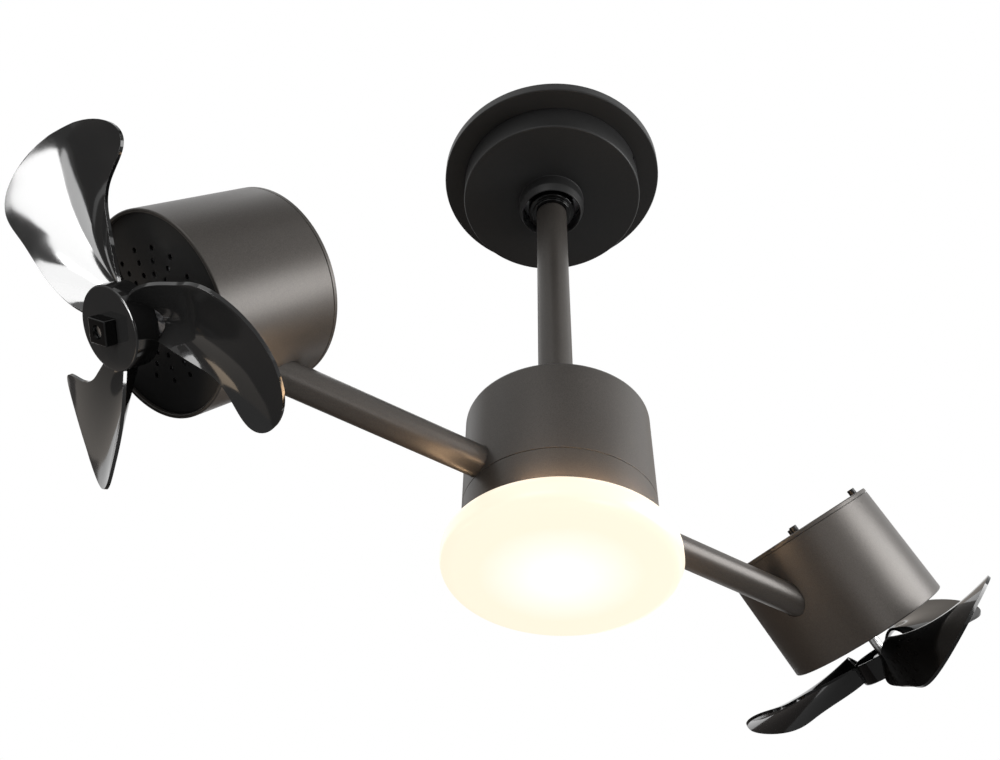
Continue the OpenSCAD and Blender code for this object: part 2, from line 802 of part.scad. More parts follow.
module rotor_core(side) {
    color("#777780") at_head(side) difference() {
        translate([0, 0, stack_rear + 0.5]) cylinder(r = rotor_r, h = stack_l - 1);
        translate([0, 0, stack_rear]) cylinder(r = shaft_r + slip / 3, h = stack_l);
    }
}

module shaft(side) {
    color("silver") at_head(side) difference() {
        translate([0, 0, shaft_rear]) cylinder(r = shaft_r, h = shaft_front - shaft_rear);
        translate([0, 0, pin_z]) y_bar(pin_r + fit, 2 * shaft_r + 2);
    }
}

module drive_pin(side) {
    color("silver") at_head(side) translate([0, 0, pin_z]) y_bar(pin_r, 2 * boss_r - 1);
}

// Angles of the blade's two edges at radius r, and its height behind the hub's front
function lead_angle(r) = let (d = r - hub_r)
    50.4 - 0.338 * d - 0.0036 * d * d + 0.000054 * d * d * d;
function trail_angle(r) = let (d = max(0, r - blade_sweep_r) / 30) -15.1 - 10.9 * d * d;
function tip_share(r) = let (s = max(0, r - tip_start_r) / (tip_r - tip_start_r))
    sqrt(max(0, 1 - pow(s, 2.4)));
// the sweep slows down towards the tip
function blade_angle(r, c) =
    let (q = r - pow(max(0, r - tip_start_r), 2) / (2 * (tip_r - tip_start_r)),
         mid = (lead_angle(q) + trail_angle(q)) / 2,
         half = (lead_angle(q) - trail_angle(q)) / 2 * tip_share(r))
    mid + half * (2 * c - 1);
function blade_drop(r, a) =
    let (t = a * PI / 180, q = (r - blade_mid_r) / 50)
    -17.8 + 15.1 * t + 39.7 * t * t + 2.6 * q - 1.5 * q * q + 31.9 * q * t;

// One sickle-shaped, twisted blade
module blade() {
    // rings crowd towards the tip, where the outline turns fast
    last_r = tip_r - 0.3;
    radii = [for (i = [0 : blade_rings]) let (k = 1 - pow(1 - i / blade_rings, 1.6))
             blade_root_r + (last_r - blade_root_r) * k];
    w = blade_steps + 1;
    n = (blade_rings + 1) * w;
    points = [for (f = [0, 1], r = radii, j = [0 : blade_steps])
              let (a = blade_angle(r, j / blade_steps))
              [r * cos(a), r * sin(a), blade_drop(r, a) + (f - 0.5) * blade_t]];
    back = [for (i = [0 : blade_rings - 1], j = [0 : blade_steps - 1]) let (k = i * w + j)
            each [[k, k + w + 1, k + 1], [k, k + w, k + w + 1]]];
    front = [for (t = back) [t[0] + n, t[2] + n, t[1] + n]];
    rim = concat([for (j = [0 : blade_steps - 1]) [j, j + 1]],
                 [for (i = [0 : blade_rings - 1]) [i * w + blade_steps, (i + 1) * w + blade_steps]],
                 [for (j = [blade_steps : -1 : 1]) [n - w + j, n - w + j - 1]],
                 [for (i = [blade_rings : -1 : 1]) [i * w, (i - 1) * w]]);
    side_faces = [for (e = rim) each [[e[0], e[1] + n, e[0] + n], [e[0], e[1], e[1] + n]]];
    polyhedron(points, concat(back, front, side_faces));
}

module propeller(side) {
    color("#0b0b0b") at_head(side)
        rotate([0, 0, side == right ? right_phase : left_phase]) {
            translate([0, 0, hub_reach - hub_h]) difference() {
                union() {
                    ring(hub_r, hub_r - hub_wall, 0, hub_h);
                    translate([0, 0, hub_h - 2.5]) cylinder(r = hub_r - eps, h = 2.5);
                    translate([0, 0, 2]) cylinder(r = boss_r, h = hub_h - 2);
                    round_z(steps(6, 30)) translate([boss_r - 1, -0.75, 4])
                        cube([hub_r - boss_r, 1.5, hub_h - 5]);
                }
                translate([0, 0, -1]) cylinder(r = shaft_r + slip / 3, h = hub_h + 2);
                rotate([0, 0, -(side == right ? right_phase : left_phase)])
                    translate([-pin_r - slip, -boss_r - 1, -1])
                        cube([2 * (pin_r + slip), 2 * boss_r + 2, 5.5 + pin_r + slip + 1]);
            }
            round_z(steps(blade_count)) translate([0, 0, hub_reach]) blade();
        }
}

module blade_nut(side) {
    color("#0a0a0a") at_head(side)
        rotate([0, 0, side == right ? right_phase : left_phase]) translate([0, 0, nut_z])
            difference() {
                translate([-nut_side / 2, -nut_side / 2, 0]) cube([nut_side, nut_side, nut_h]);
                translate([0, 0, -1]) cylinder(r = shaft_r + slip, h = nut_h + 2);
                translate([0, 0, nut_h - 4]) cylinder(r = 5.6, h = 5);
            }
}

// ---- the nodes ----------------------------------------------------------------

mounting_bracket();
ceiling_plate();
plate_screws();
canopy_cover();
canopy_studs();
receiver_box();
terminal_block();
hanger_ball();
ball_pin();
downrod();
rod_cap();
arm_block();
block_pin();
housing_shell();
housing_screws();
arm_set_screws();
led_driver();
lower_ring();
fitter_screws();
heat_sink();
led_board();
led_chips();
diffuser();
diffuser_pins();
arm_tube(left);  // left_arm_tube
arm_bracket(left);  // left_arm_bracket
head_shell(left);  // left_head_shell
front_plate(left);  // left_front_plate
rear_cover(left);  // left_rear_cover
rear_trim(left);  // left_rear_trim
cover_screws(left);  // left_cover_screws
front_bell(left);  // left_front_bell
rear_bell(left);  // left_rear_bell
stator_core(left);  // left_stator_core
windings(left);  // left_windings
bearings(left);  // left_bearings
motor_bolts(left);  // left_motor_bolts
rotor_core(left);  // left_rotor_core
shaft(left);  // left_shaft
propeller(left);  // left_propeller
drive_pin(left);  // left_drive_pin
blade_nut(left);  // left_blade_nut
arm_tube(right);  // right_arm_tube
arm_bracket(right);  // right_arm_bracket
head_shell(right);  // right_head_shell
front_plate(right);  // right_front_plate
rear_cover(right);  // right_rear_cover
rear_trim(right);  // right_rear_trim
cover_screws(right);  // right_cover_screws
front_bell(right);  // right_front_bell
rear_bell(right);  // right_rear_bell
stator_core(right);  // right_stator_core
windings(right);  // right_windings
bearings(right);  // right_bearings
motor_bolts(right);  // right_motor_bolts
rotor_core(right);  // right_rotor_core
shaft(right);  // right_shaft
propeller(right);  // right_propeller
drive_pin(right);  // right_drive_pin
blade_nut(right);  // right_blade_nut
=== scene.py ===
# %% [markdown]
# # A ceiling fan with two heads and a lamp
# A drum-shaped canopy hangs on the ceiling and a rod comes down from it. At the rod's foot a round
# lamp housing carries two straight arms, and each arm ends in a canted motor head with a sickle-bladed
# propeller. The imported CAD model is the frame: it fixes every size and every joint. This script builds
# the pieces that the eye meets with finer edges, and gives each surface its finish.

# %% Load the frame
import json
import math

import bmesh
import bpy
from mathutils import Matrix, Vector


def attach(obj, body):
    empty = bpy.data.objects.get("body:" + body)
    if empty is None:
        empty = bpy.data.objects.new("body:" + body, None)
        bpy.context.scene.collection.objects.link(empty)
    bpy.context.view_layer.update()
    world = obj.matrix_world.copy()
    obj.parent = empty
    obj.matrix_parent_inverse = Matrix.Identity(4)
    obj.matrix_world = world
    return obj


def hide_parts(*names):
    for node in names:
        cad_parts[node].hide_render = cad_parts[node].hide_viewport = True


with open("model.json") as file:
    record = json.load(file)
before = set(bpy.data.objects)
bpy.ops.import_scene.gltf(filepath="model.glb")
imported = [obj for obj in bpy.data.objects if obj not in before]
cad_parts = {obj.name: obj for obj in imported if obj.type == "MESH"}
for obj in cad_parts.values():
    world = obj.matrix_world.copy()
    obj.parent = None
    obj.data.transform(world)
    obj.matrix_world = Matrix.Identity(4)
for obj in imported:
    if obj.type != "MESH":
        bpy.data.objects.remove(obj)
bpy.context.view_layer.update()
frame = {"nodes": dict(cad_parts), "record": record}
for plain in list(bpy.data.materials):
    bpy.data.materials.remove(plain)
MM = 0.001
LEFT, RIGHT = -1, 1
SIDE_NAMES = {LEFT: "left", RIGHT: "right"}

# %% [markdown]
# ## The camera
# The fan is seen from below. The lens, the tilt and the turn were worked out from the ellipses that
# the round parts make in the picture, with the rod and the arms as straight edges. The picture is a
# crop, so the lens is shifted a little to the side.

# %% Camera
FRAME_WIDTH, FRAME_HEIGHT = 1000, 760
FOCAL_PIXELS = 1047.734
AXIS_X, AXIS_Y = 431.043, 376.587
CAMERA_TURN = math.radians(-27.27)
CAMERA_PITCH = math.radians(44.23)
CAMERA_ROLL = math.radians(5.15)
CAMERA_PLACE = Vector((-0.095459, -0.570945, -0.831168))

lens = bpy.data.cameras.new("camera")
lens.sensor_width = 36.0
lens.lens = 36.0 * FOCAL_PIXELS / FRAME_WIDTH
lens.shift_x = (FRAME_WIDTH / 2 - AXIS_X) / FRAME_WIDTH
lens.shift_y = (AXIS_Y - FRAME_HEIGHT / 2) / FRAME_WIDTH
lens.clip_start = 0.01
camera = bpy.data.objects.new("camera", lens)
turn = Matrix.Rotation(CAMERA_TURN, 4, "Z")
camera.matrix_world = (turn @ Matrix.Translation(CAMERA_PLACE)
                       @ Matrix.Rotation(math.pi / 2 + CAMERA_PITCH, 4, "X")
                       @ Matrix.Rotation(CAMERA_ROLL, 4, "Z"))
bpy.context.scene.collection.objects.link(camera)
bpy.context.scene.camera = camera
print("lens", round(lens.lens, 2), "mm, camera at", [round(v, 3) for v in camera.location])

# %% [markdown]
# ## The studio
# The fan hangs high above a plain pale floor. The world is white wherever the camera, a glossy
# surface or a clear one looks at it, and dimmer as a light, so that the soft boxes give the form.
# The floor is two sheets in one place: the camera sees the pale one, and the plain one, which only
# throws light back and is mirrored, keeps the fan's underside dark.

# %% World and floor
scene = bpy.context.scene
scene.view_settings.view_transform = "Standard"
FLOOR_Z, FLOOR_R, FLOOR_TONE, FLOOR_GLOW = -1.6, 4.0, 0.8, 0.5
AMBIENT = 0.35


def white_where_seen(material_tree, shader_in, white_shader, dim_shader):
    """Shows the white shader to the camera, to gloss and to glass, and the dim one as light."""
    path = material_tree.nodes.new("ShaderNodeLightPath")
    seen = path.outputs["Is Camera Ray"]
    for ray in ("Is Glossy Ray", "Is Transmission Ray"):
        either = material_tree.nodes.new("ShaderNodeMath")
        either.operation = "MAXIMUM"
        material_tree.links.new(seen, either.inputs[0])
        material_tree.links.new(path.outputs[ray], either.inputs[1])
        seen = either.outputs[0]
    mix = material_tree.nodes.new("ShaderNodeMixShader")
    material_tree.links.new(seen, mix.inputs[0])
    material_tree.links.new(dim_shader, mix.inputs[1])
    material_tree.links.new(white_shader, mix.inputs[2])
    material_tree.links.new(mix.outputs[0], shader_in)


world = bpy.data.worlds.new("studio")
world.use_nodes = True
scene.world = world
sky = world.node_tree
sky.nodes.clear()
backgrounds = []
for strength in (1.0, AMBIENT):
    background = sky.nodes.new("ShaderNodeBackground")
    background.inputs["Color"].default_value = (1, 1, 1, 1)
    background.inputs["Strength"].default_value = strength
    backgrounds.append(background.outputs[0])
white_where_seen(sky, sky.nodes.new("ShaderNodeOutputWorld").inputs["Surface"], *backgrounds)


def matt_paper(name, tone, glow, **more):
    """A matt paper of a grey tone that also gives off the light named by glow."""
    paper = bpy.data.materials.new(name)
    paper.use_nodes = True
    sockets = paper.node_tree.nodes["Principled BSDF"].inputs
    sockets["Base Color"].default_value = (tone, tone, tone, 1)
    sockets["Emission Color"].default_value = (*glow, 1)
    sockets["Emission Strength"].default_value = 1.0
    for key, value in more.items():
        sockets[key.replace("_", " ")].default_value = value
    return paper


def studio_sheet(name, mesh, paper, unseen):
    """Makes a mesh a piece of the studio, which the given kinds of ray don't see."""
    data = bpy.data.meshes.new(name)
    mesh.to_mesh(data)
    mesh.free()
    data.materials.append(paper)
    sheet = bpy.data.objects.new(name, data)
    scene.collection.objects.link(sheet)
    for ray in unseen:
        setattr(sheet, "visible_" + ray, False)


ALL_BUT_CAMERA = ("diffuse", "glossy", "transmission", "volume_scatter", "shadow")
FLOORS = (("floor", FLOOR_GLOW, ALL_BUT_CAMERA), ("floor for light", 0.0, ("camera",)))
for floor_name, glow, unseen in FLOORS:
    disc = bmesh.new()
    bmesh.ops.create_circle(disc, cap_ends=True, segments=96, radius=FLOOR_R)
    bmesh.ops.translate(disc, verts=disc.verts, vec=(0, 0, FLOOR_Z))
    floor_paper = matt_paper(floor_name + " paper", FLOOR_TONE, (glow,) * 3, Roughness=0.9)
    studio_sheet(floor_name, disc, floor_paper, unseen)
print("floor", -FLOOR_Z, "m below the ceiling")

# %% Soft boxes
# Each soft box: name, place, what it faces, width, height, power in watts and roll in degrees.
LEFT_BLADE = (-0.365, -0.005, -0.35)
SOFT_BOXES = (
    ("key box", (0.55, -0.60, -0.26), (0.0, 0.0, -0.36), 0.45, 0.50, 7.6, 0),
    ("fill box", (-1.3, -0.9, 0.1), (-0.2, 0, -0.3), 0.8, 0.8, 4.8, 0),
    ("top box", (0.2, 0.3, 1.2), (0, 0, -0.3), 1.0, 1.0, 4, 0),
    ("edge box", (0.05, -0.75, -0.85), (0, 0, -0.1), 0.3, 0.3, 1.2, 0),
    ("blade box", (-0.923, -0.152, -0.906), LEFT_BLADE, 0.71, 0.30, 26, -18),
    ("blade wing", (-0.995, 0.225, -0.786), LEFT_BLADE, 0.31, 0.27, 3.4, 0),
    ("blade side box", (-0.862, -0.560, -0.646), LEFT_BLADE, 0.225, 0.72, 19, -19),
)


def facing(place, target, roll=0.0):
    """A frame at a place whose -Z axis points at the target, rolled about that axis."""
    turn = (Vector(target) - Vector(place)).to_track_quat("-Z", "Y").to_matrix().to_4x4()
    return Matrix.Translation(place) @ turn @ Matrix.Rotation(math.radians(roll), 4, "Z")


def area_lamp(name, place, target, width, height, power, roll=0.0, colour=(1, 1, 1)):
    """A rectangular lamp that lights and is mirrored, but that the camera doesn't see."""
    light = bpy.data.lights.new(name, "AREA")
    light.shape, light.size, light.size_y = "RECTANGLE", width, height
    light.energy, light.color = power, colour
    lamp = bpy.data.objects.new(name, light)
    lamp.matrix_world = facing(place, target, roll)
    scene.collection.objects.link(lamp)
    lamp.visible_camera = False
    return lamp


soft_boxes = {row[0]: area_lamp(*row) for row in SOFT_BOXES}
print(len(soft_boxes), "soft boxes")

# %% [markdown]
# Polished black mirrors whatever stands round it, and a white room would make it look grey. So, as a
# photographer does, cards hang round the fan: black flags keep it dark, and dim grey and warm cards
# give it soft tones. Only reflections see them. The three blade boxes are linked to the left
# propeller alone: they draw the long white reflection on its upper blade.

# %% Cards and the linked boxes
BLACK, GREY, WARM = (0.11, 0.10, 0.095), (0.48, 0.44, 0.40), (4.4, 3.5, 2.6)
CARD_TONE = 0.004
ALL_BUT_GLOSSY = ("camera", "diffuse", "transmission", "volume_scatter", "shadow")
LEFT_HUB, RIGHT_HEAD = (-0.28, 0.02, -0.42), (0.27, -0.03, -0.36)
# Each card: name, middle, what it faces, width, height, roll in degrees and the light it gives off.
CARDS = (
    ("flag behind the housing", (0.0, 0.5, -0.52), (0.0, 0.0, -0.52), 0.98, 0.57, 0, BLACK),
    ("flag behind the left hub", (-0.88, 0.5, -0.50), (-0.88, 0.0, -0.50), 0.34, 0.60, 0, BLACK),
    ("flag above the right head", (0.30, 0.5, 0.10), (0.30, 0.0, 0.10), 0.60, 0.66, 0, BLACK),
    ("flag on the right", (1.25, 0.5, -0.52), (1.25, 0.0, -0.52), 0.70, 0.70, 0, BLACK),
    ("flag before the right head", (-0.27, -0.56, -0.92), RIGHT_HEAD, 0.70, 0.60, 0, BLACK),
    ("flag beside the left blade", (-1.05, 0.25, -0.42), LEFT_BLADE, 0.32, 0.40, 0, BLACK),
    ("flag under the left blade", (-0.957, -0.294, -0.708), LEFT_BLADE, 0.20, 0.28, 12, BLACK),
    ("flag before the rod", (-0.27, -0.54, 0.55), (0.0, 0.0, -0.15), 0.55, 0.35, 0, BLACK),
    ("grey card behind the left head", (-0.60, 0.51, -0.10), (-0.60, 0.0, -0.10), 0.26, 1.4, 0, GREY),
    ("warm card behind the left head", (-0.70, 0.48, -0.70), LEFT_HUB, 0.12, 0.16, 0, WARM),
    ("grey card above the right head", (0.85, 0.27, 0.47), RIGHT_HEAD, 0.42, 0.42, 0, GREY),
)
card_papers = {light: matt_paper(f"card_paper_{i + 1}", CARD_TONE, light, Specular_IOR_Level=0.0)
               for i, light in enumerate((BLACK, GREY, WARM))}
for card_name, middle, target, width, height, roll, light in CARDS:
    card = bmesh.new()
    bmesh.ops.create_grid(card, x_segments=1, y_segments=1, size=0.5,
                          matrix=facing(middle, target, roll) @ Matrix.Diagonal((width, height, 1, 1)))
    studio_sheet(card_name, card, card_papers[light], ALL_BUT_GLOSSY)
left_rotor_only = bpy.data.collections.new("left_rotor_only")
scene.collection.children.link(left_rotor_only)
for box_name in ("blade box", "blade wing", "blade side box"):
    soft_boxes[box_name].light_linking.receiver_collection = left_rotor_only
print(len(CARDS), "cards")

# %% [markdown]
# The lamp in the middle is far brighter than the white it clips to, and its warm light runs up the
# housing, along the arms and onto the heads. Two rings of small lamps on the diffuser give that
# light: one ring on its shoulder faces up, the other faces out. Those right under an arm are dimmed,
# or they would burn a bright spot on it.

# %% Light of the lamp
GLOW_COLOUR = (1.0, 0.66, 0.38)
GLOW_STEPS = 12
BESIDE_ARM = 0.9    # a lamp whose direction has at least this share along X is beside an arm
# Each ring: name, radius, height, rise of its beam, width and height of a lamp in mm, power of one
# lamp, and the share of that power beside the arms.
GLOW_RINGS = (("shoulder light", 73.0, -419.8, 5.0, 36, 10, 0.028, 0.06),
              ("side light", 81.0, -431.0, 0.3, 40, 16, 0.033, 0.9))
for ring_name, radius, z, rise, width, height, power, share in GLOW_RINGS:
    for i in range(GLOW_STEPS):
        a = 2 * math.pi * (i + 0.5) / GLOW_STEPS
        place = Vector((radius * math.cos(a), radius * math.sin(a), z)) * MM
        beam = Vector((math.cos(a), math.sin(a), rise)) * MM
        dimmed = share if abs(math.cos(a)) > BESIDE_ARM else 1.0
        lamp = area_lamp(f"{ring_name} {i + 1}", place, place + beam, width * MM, height * MM,
                         power * dimmed, colour=GLOW_COLOUR)
        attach(lamp, "lamp_diffuser")
print(GLOW_STEPS * len(GLOW_RINGS), "glow lamps")

# %% [markdown]
# ## Shader arithmetic
# A finish is a small sum of patterns. The class below wraps one socket, so that such a sum is
# written as a Python expression: each operator adds a Math node. Every other node is added by one
# method, which sets the node's own settings first and then its sockets.

# %% Wire class


class Wire:
    """A socket in a material's node tree; arithmetic on it adds Math nodes."""

    def __init__(self, tree, socket=None):
        self.tree, self.socket = tree, socket

    def add(self, kind, settings=None, values=None, out=0):
        """Adds a shader node with its settings, then its sockets' values or links."""
        node = self.tree.nodes.new("ShaderNode" + kind)
        for key, value in (settings or {}).items():
            setattr(node, key, value)
        for key, value in (values or {}).items():
            if isinstance(value, Wire):
                self.tree.links.new(value.socket, node.inputs[key])
            else:
                node.inputs[key].default_value = value
        return Wire(self.tree, node.outputs[out] if node.outputs else None)

    def math(self, operation, *terms):
        return self.add("Math", {"operation": operation}, dict(enumerate(terms)))

    def __add__(self, other):
        return self.math("ADD", self, other)

    def __mul__(self, other):
        return self.math("MULTIPLY", self, other)

    def __sub__(self, other):
        return self.math("SUBTRACT", self, other)

    def __rsub__(self, other):
        return self.math("SUBTRACT", other, self)

    __radd__, __rmul__ = __add__, __mul__

    def clamped(self):
        return self.add("Clamp", values={"Value": self})

    def blend(self, low, high):
        """Mixes two colours by this value."""
        return self.add("Mix", {"data_type": "RGBA"}, {0: self, 6: low, 7: high}, out=2)


def shader(name):
    """A new material, and a wire that starts its node tree."""
    material = bpy.data.materials.new(name)
    material.use_nodes = True
    material.node_tree.nodes.clear()
    return material, Wire(material.node_tree)


def coordinates(wire, scale=(1, 1, 1)):
    """The piece's own coordinates in metres, stretched."""
    place = wire.add("TexCoord", out=3)
    return place.add("VectorMath", {"operation": "MULTIPLY"}, {0: place, 1: scale})


def noise(wire, where, size, detail=2.0):
    """Soft random patches of about the given size in millimetres."""
    return wire.add("TexNoise", {"noise_dimensions": "3D"},
                    {"Vector": where, "Scale": 1 / (size * MM), "Detail": detail}, out=0)


def specks(wire, where, size):
    """A random brightness for each small cell, of about the given size in millimetres."""
    cells = wire.add("TexVoronoi", {"feature": "F1"}, {"Vector": where, "Scale": 1 / (size * MM)},
                     out=1)
    return cells.add("SeparateColor", values={"Color": cells})


def surface(wire, colour, rough, metal=0.0, height=None, depth=0.05, **fixed):
    """A Principled surface with bump from the height wire; depth is in millimetres."""
    values = {"Base Color": colour, "Roughness": rough, "Metallic": metal}
    values.update({key.replace("_", " "): value for key, value in fixed.items()})
    if height is not None:
        values["Normal"] = wire.add("Bump", values={"Height": height, "Strength": 1.0,
                                                    "Distance": depth * MM})
    skin = wire.add("BsdfPrincipled", values=values)
    wire.add("OutputMaterial", values={"Surface": skin})


def grey(value, tint=(1, 1, 1)):
    return (value * tint[0], value * tint[1], value * tint[2], 1)


# %% [markdown]
# ## Finishes
# The metal parts wear a baked powder coat: its skin has the faint hills of an orange peel, a fine
# grain, and tiny metallic flakes that catch the light. Recipes like this one differ in colour, grain
# and gloss only, so one function makes them from a few numbers.

# %% Powder coats and other grained finishes
PATCH, ROUGH_PLAY = 0.12, 0.06    # how far patches change the tone, and grit the roughness


def grained(name, colour, rough, metal, peel=2.2, grain=0.35, depth=0.02, fleck=0.25, fleck_size=0.5,
            **fixed):
    """A coated or cast surface with patches, peel, grain and flecks; sizes in millimetres."""
    material, wire = shader(name)
    where = coordinates(wire)
    clouds = noise(wire, where, 60, 3)
    hills = noise(wire, where, peel)
    grit = noise(wire, where, grain, 1)
    flakes = specks(wire, where, fleck_size)
    tone = (1 - PATCH) + clouds * (2 * PATCH)
    tone = tone * ((1 - fleck) + flakes * (2 * fleck))
    low = tuple(v * 0.5 for v in colour[:3]) + (1,)
    high = tuple(v * 1.5 for v in colour[:3]) + (1,)
    shade = (tone - 0.5).clamped().blend(low, high)
    gloss = rough - ROUGH_PLAY + (clouds + grit) * ROUGH_PLAY
    surface(wire, shade, gloss, metal, hills + grit * 0.5, depth, **fixed)
    return material


satin_bronze = grained("satin_bronze", grey(0.050, (1.0, 0.89, 0.79)), 0.38, 0.40, grain=0.22,
                       fleck_size=0.3, Specular_IOR_Level=0.45)
satin_black = grained("satin_black", grey(0.011), 0.46, 0.0, fleck=0.12, Specular_IOR_Level=0.3)
black_screw = grained("black_screw", grey(0.012), 0.35, 0.4, depth=0.01)
ball_plastic = grained("ball_plastic", grey(0.012), 0.3, 0.0, depth=0.01, fleck=0.05)
dark_plastic = grained("dark_plastic", grey(0.02), 0.55, 0.0, peel=1.0, depth=0.05, fleck=0.1)
pale_plastic = grained("pale_plastic", (0.72, 0.70, 0.62, 1), 0.5, 0.0, peel=1.0, fleck=0.04)
white_board = grained("white_board", (0.82, 0.82, 0.79, 1), 0.4, 0.0, depth=0.01, fleck=0.03)
cast_alloy = grained("cast_alloy", (0.52, 0.52, 0.54, 1), 0.5, 0.95, peel=1.6, grain=0.5, depth=0.08)
phosphor = grained("phosphor", (0.85, 0.68, 0.18, 1), 0.35, 0.0, peel=0.6, depth=0.02, fleck=0.2)
print("grained finishes:", satin_bronze.name, satin_black.name, "and others")

# %% [markdown]
# The blades and hubs are moulded in black plastic and come out of a polished tool. What tells such
# plastic from a perfect mirror is a slow waviness where it shrank, and a film of dust that makes the
# reflections a little soft in places.

# %% Glossy moulded plastic
gloss_black, wire = shader("gloss_black")
where = coordinates(wire)
sink = noise(wire, where, 30, 1)
dust = noise(wire, where, 1.2, 3)
film = noise(wire, where, 45, 2)
haze = ((film - 0.45) * 2.0).clamped()
surface(wire, (haze * 0.6).blend(grey(0.0025), grey(0.0045, (1, 0.95, 0.9))),
        0.05 + haze * 0.06 + dust * 0.04, 0.0, sink, 0.25, Specular_IOR_Level=0.3)
print("moulded finish:", gloss_black.name)

# %% [markdown]
# The diffuser is opal: the lamp board behind it makes it white on the axis and creamier
# towards the rim, where the wall turns away from the board. It glows by emission, and a thin gloss
# on top keeps the highlight of a smooth moulding.

# %% Opal diffuser
GLOW_CENTRE = (1.0, 1.0, 0.96, 1)
GLOW_RIM = (1.0, 0.87, 0.70, 1)
GLOW_FADE, GLOW_CORE = 40, 0.35    # mm over which white turns to cream, and the share that stays white
opal, wire = shader("opal")
where = coordinates(wire)
flat = where.add("VectorMath", {"operation": "MULTIPLY"}, {0: where, 1: (1, 1, 0)})
radius = flat.add("VectorMath", {"operation": "LENGTH"}, {0: flat}, out=1)
milk = noise(wire, where, 14, 2)
rimward = (radius * (1 / (GLOW_FADE * MM)) - GLOW_CORE + (milk - 0.5) * 0.08).clamped()
surface(wire, rimward.blend((0.16, 0.16, 0.15, 1), (0.16, 0.15, 0.12, 1)), 0.28 + milk * 0.08,
        height=milk, depth=0.05, Emission_Strength=1.0,
        Emission_Color=rimward.blend(GLOW_CENTRE, GLOW_RIM))
print("lit finish:", opal.name)

# %% [markdown]
# Hidden metal is plainer but still real. Zinc plating shows a crystal spangle, ground steel has fine
# lines round its axis, motor laminations are thin stripes, and the windings are a fan of wires.

# %% Bare and plated metals
zinc_steel, wire = shader("zinc_steel")
where = coordinates(wire)
spangle = specks(wire, where, 3.5)
stain = noise(wire, where, 18, 3)
surface(wire, (spangle * 0.6 + stain * 0.4).blend(grey(0.42), (0.66, 0.66, 0.70, 1)),
        0.28 + spangle * 0.12, 1.0, stain, 0.05)

bare_steel, wire = shader("bare_steel")
lines = noise(wire, coordinates(wire, scale=(1, 1, 12)), 4, 4)
surface(wire, lines.blend(grey(0.5), grey(0.68)), 0.22 + lines * 0.12, 1.0, lines, 0.02)

laminated_steel, wire = shader("laminated_steel")
where = coordinates(wire)
sheets = wire.add("TexWave", {"wave_type": "BANDS", "bands_direction": "Z"},
                  {"Vector": where, "Scale": 320.0, "Distortion": 0.4})
rust = noise(wire, where, 9, 3)
surface(wire, (sheets * 0.5 + rust * 0.5).blend(grey(0.10), (0.24, 0.22, 0.21, 1)), 0.45 + rust * 0.1,
        0.8, sheets, 0.08)

copper_wire, wire = shader("copper_wire")
where = coordinates(wire)
turns = wire.add("TexWave", {"wave_type": "RINGS", "rings_direction": "SPHERICAL"},
                 {"Vector": where, "Scale": 260.0, "Distortion": 3.0})
varnish = noise(wire, where, 7, 2)
surface(wire, (turns * 0.7 + varnish * 0.3).blend((0.35, 0.12, 0.05, 1), (0.75, 0.36, 0.16, 1)),
        0.3 + varnish * 0.1, 0.9, turns, 0.15)

FINISHES = {m.name: m for m in (satin_bronze, satin_black, gloss_black, black_screw, opal, zinc_steel,
                                cast_alloy, bare_steel, laminated_steel, copper_wire, dark_plastic,
                                ball_plastic, pale_plastic, white_board, phosphor)}
print("finishes:", len(FINISHES))

# %% [markdown]
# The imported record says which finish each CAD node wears. Nodes that stay as they are get it here;
# the pieces below replace the ones that show most.

# %% Finish the CAD nodes
for entry in frame["record"]["subparts"]:
    skin = frame["nodes"][entry["node"]].data
    skin.materials.clear()
    skin.materials.append(FINISHES[entry["material_slot"]])
SLOT_OF = {entry["node"]: entry["material_slot"] for entry in frame["record"]["subparts"]}
print("finished nodes:", len(SLOT_OF))

# %% [markdown]
# ## Turned pieces
# Almost every piece is turned or spun sheet, so its shape is a profile that goes round the axis. The
# bevel operator rounds the profile's corners while it is still a wire, and the spin operator makes
# the solid. Two more helpers cut holes with a boolean, and hand a finished mesh to the frame.

# %% Turning, cutting and finishing helpers
STEPS = 180
SHARP = math.radians(32)    # an edge that folds less than this is shaded smooth


def turned(profile, rounds=(), steps=STEPS, segments=4):
    """Spins a closed profile of (radius, height) points, in mm, round Z.
    rounds maps a corner's number to its rounding in mm."""
    bm = bmesh.new()
    corners = [bm.verts.new((r * MM, 0, z * MM)) for r, z in profile]
    for a, b in zip(corners, corners[1:] + corners[:1]):
        bm.edges.new((a, b))
    for corner, radius in dict(rounds).items():
        bmesh.ops.bevel(bm, geom=[corners[corner]], offset=radius * MM, segments=segments,
                        profile=0.5, affect="VERTICES", material=-1)
    bmesh.ops.spin(bm, geom=bm.verts[:] + bm.edges[:], cent=(0, 0, 0), axis=(0, 0, 1),
                   angle=2 * math.pi, steps=steps, use_merge=True)
    bmesh.ops.remove_doubles(bm, verts=bm.verts, dist=1e-6)
    bmesh.ops.recalc_face_normals(bm, faces=bm.faces)
    return bm


def cylinder(radius, z0, z1, steps=48):
    """A plain closed cylinder from z0 to z1, in mm, for cutting holes."""
    bm = bmesh.new()
    bmesh.ops.create_cone(bm, cap_ends=True, segments=steps, radius1=radius * MM,
                          radius2=radius * MM, depth=(z1 - z0) * MM)
    bmesh.ops.translate(bm, verts=bm.verts, vec=(0, 0, (z0 + z1) / 2 * MM))
    return bm


def block(size, centre):
    """A closed box of the given size about a centre, in mm."""
    bm = bmesh.new()
    bmesh.ops.create_cube(bm, size=1)
    bmesh.ops.scale(bm, verts=bm.verts, vec=Vector(size) * MM)
    bmesh.ops.translate(bm, verts=bm.verts, vec=Vector(centre) * MM)
    return bm


